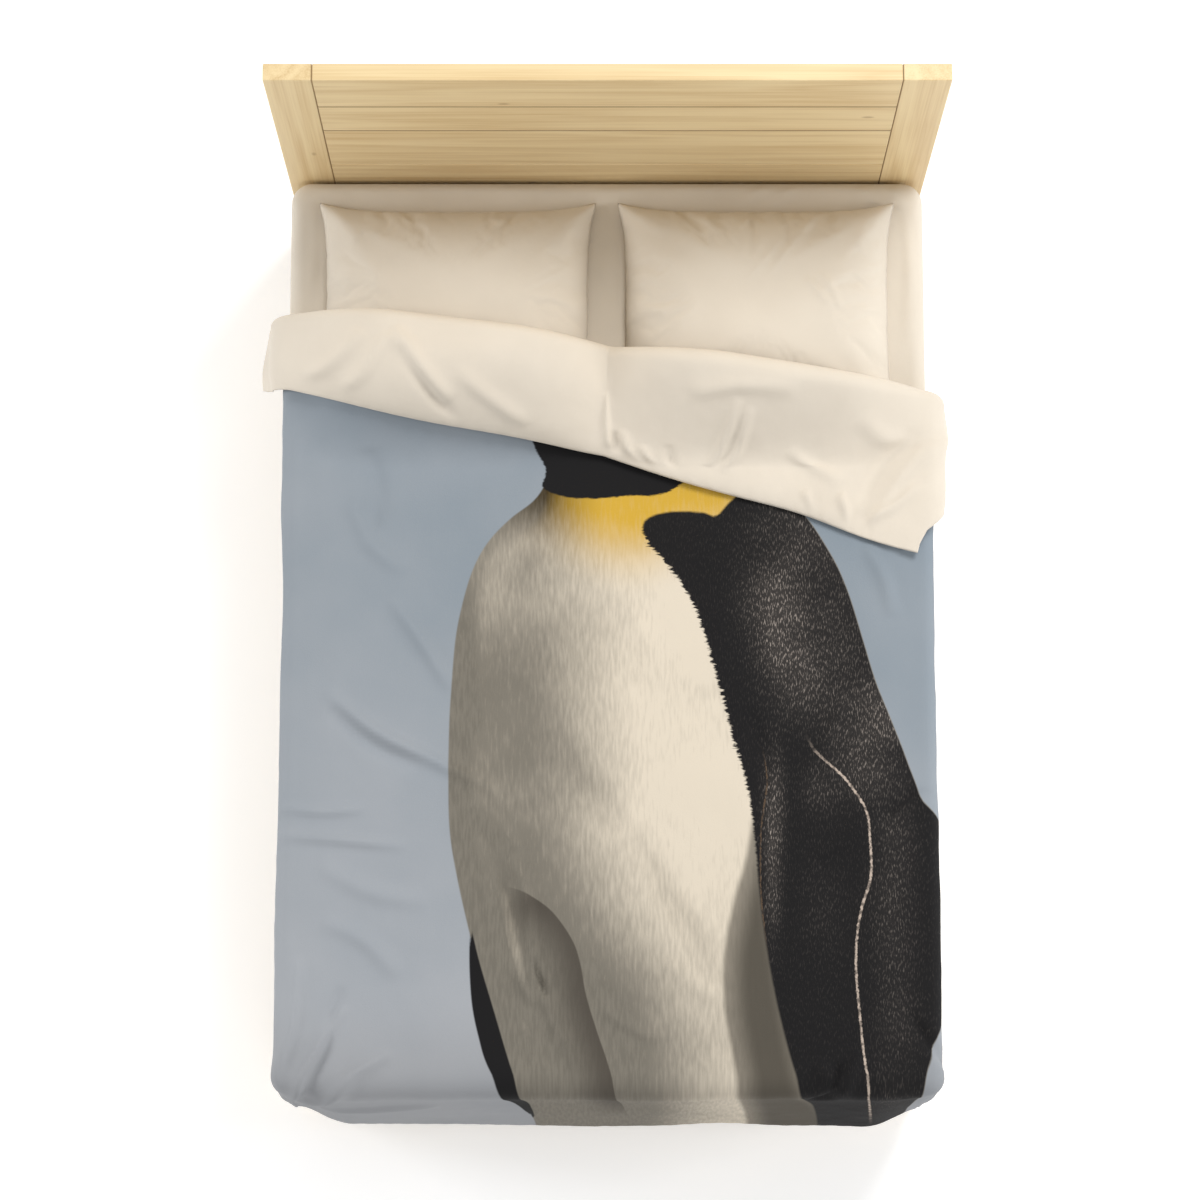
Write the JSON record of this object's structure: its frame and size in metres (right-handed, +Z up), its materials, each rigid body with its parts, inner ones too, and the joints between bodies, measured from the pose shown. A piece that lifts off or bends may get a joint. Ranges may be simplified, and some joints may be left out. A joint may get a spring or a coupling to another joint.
{
  "type": "made-up double bed",
  "caption": "Double bed with a plank headboard, slatted frame, mattress, fitted sheet, pillows and an animal-print duvet turned down at the head.",
  "frame": {"origin": "centre of the bed's bounding box, at floor level", "axes": "+Z up, +Y from the foot towards the headboard, +X to the sleeper's right as seen from the foot"},
  "size_m": [1.529, 2.1181, 1.184],
  "materials": {
    "headboard_wood": "clear-oiled knotty pine planks",
    "frame_wood": "clear-oiled pine",
    "slat_wood": "planed, unfinished pine",
    "zinc_steel": "zinc-plated",
    "slider_steel": "nickel-plated",
    "felt": "pressed felt",
    "mattress_foam": "open-cell foam",
    "mattress_ticking": "knitted ticking",
    "sheet_cotton": "plain-woven cotton, slightly creased",
    "pillow_cotton": "plain-woven cotton",
    "fibre_fill": "polyester fibre",
    "duvet_print": "brushed microfibre printed with a standing penguin",
    "duvet_back": "plain brushed microfibre",
    "cotton_tape": "woven tape"
  },
  "bodies": {
    "bed_frame": {"beam_hanger_foot": "zinc_steel", "beam_hanger_head": "zinc_steel", "bed_bolt_foot_left": "zinc_steel", "bed_bolt_foot_right": "zinc_steel", "bed_bolt_head_left": "zinc_steel", "bed_bolt_head_right": "zinc_steel", "centre_beam": "slat_wood", "centre_leg": "frame_wood", "fitted_sheet": "sheet_cotton", "foot_leg_left": "frame_wood", "foot_leg_right": "frame_wood", "foot_rail": "frame_wood", "glide_centre": "felt", "glide_foot_left": "felt", "glide_foot_right": "felt", "glide_head_left": "felt", "glide_head_right": "felt", "head_rail": "frame_wood", "headboard_cleat_left": "headboard_wood", "headboard_cleat_right": "headboard_wood", "headboard_plank_1": "headboard_wood", "headboard_plank_2": "headboard_wood", "headboard_plank_3": "headboard_wood", "headboard_plank_4": "headboard_wood", "headboard_stile_left": "headboard_wood", "headboard_stile_right": "headboard_wood", "mattress_core": "mattress_foam", "mattress_cover_bottom": "mattress_ticking", "mattress_cover_top": "mattress_ticking", "side_rail_left": "frame_wood", "side_rail_right": "frame_wood", "slat_01": "slat_wood", "slat_02": "slat_wood", "slat_03": "slat_wood", "slat_04": "slat_wood", "slat_05": "slat_wood", "slat_06": "slat_wood", "slat_07": "slat_wood", "slat_08": "slat_wood", "slat_09": "slat_wood", "slat_10": "slat_wood", "slat_11": "slat_wood", "slat_12": "slat_wood", "slat_13": "slat_wood", "slat_ledge_left": "slat_wood", "slat_ledge_right": "slat_wood"},
    "duvet": {"duvet_insert": "fibre_fill", "duvet_cover_back": "duvet_back", "duvet_cover_front": "duvet_print", "zip_tape": "cotton_tape", "corner_tie_foot_left": "cotton_tape", "corner_tie_foot_right": "cotton_tape", "corner_tie_head_left": "cotton_tape", "corner_tie_head_right": "cotton_tape"},
    "pillow_left": {"pillowcase_left": "pillow_cotton", "pillow_insert_left": "fibre_fill"},
    "pillow_right": {"pillowcase_right": "pillow_cotton", "pillow_insert_right": "fibre_fill"},
    "zip_slider": {"zip_slider": "slider_steel"}
  },
  "joints": [
    {"name": "duvet_lift", "type": "slide", "parent": "bed_frame", "child": "duvet", "axis": [0, 0, 1], "range_m": [0, 0.5]},
    {"name": "pillow_left_lift", "type": "slide", "parent": "bed_frame", "child": "pillow_left", "axis": [0, 0, 1], "range_m": [0, 0.25]},
    {"name": "pillow_right_lift", "type": "slide", "parent": "bed_frame", "child": "pillow_right", "axis": [0, 0, 1], "range_m": [0, 0.25]},
    {"name": "zip_slide", "type": "slide", "parent": "duvet", "child": "zip_slider", "axis": [1, 0, 0], "range_m": [0, 0.87]}
  ],
  "couplings": [
    {"joint": "pillow_left_lift", "follows": "duvet_lift", "ratio": 0.5},
    {"joint": "pillow_right_lift", "follows": "duvet_lift", "ratio": 0.5}
  ]
}
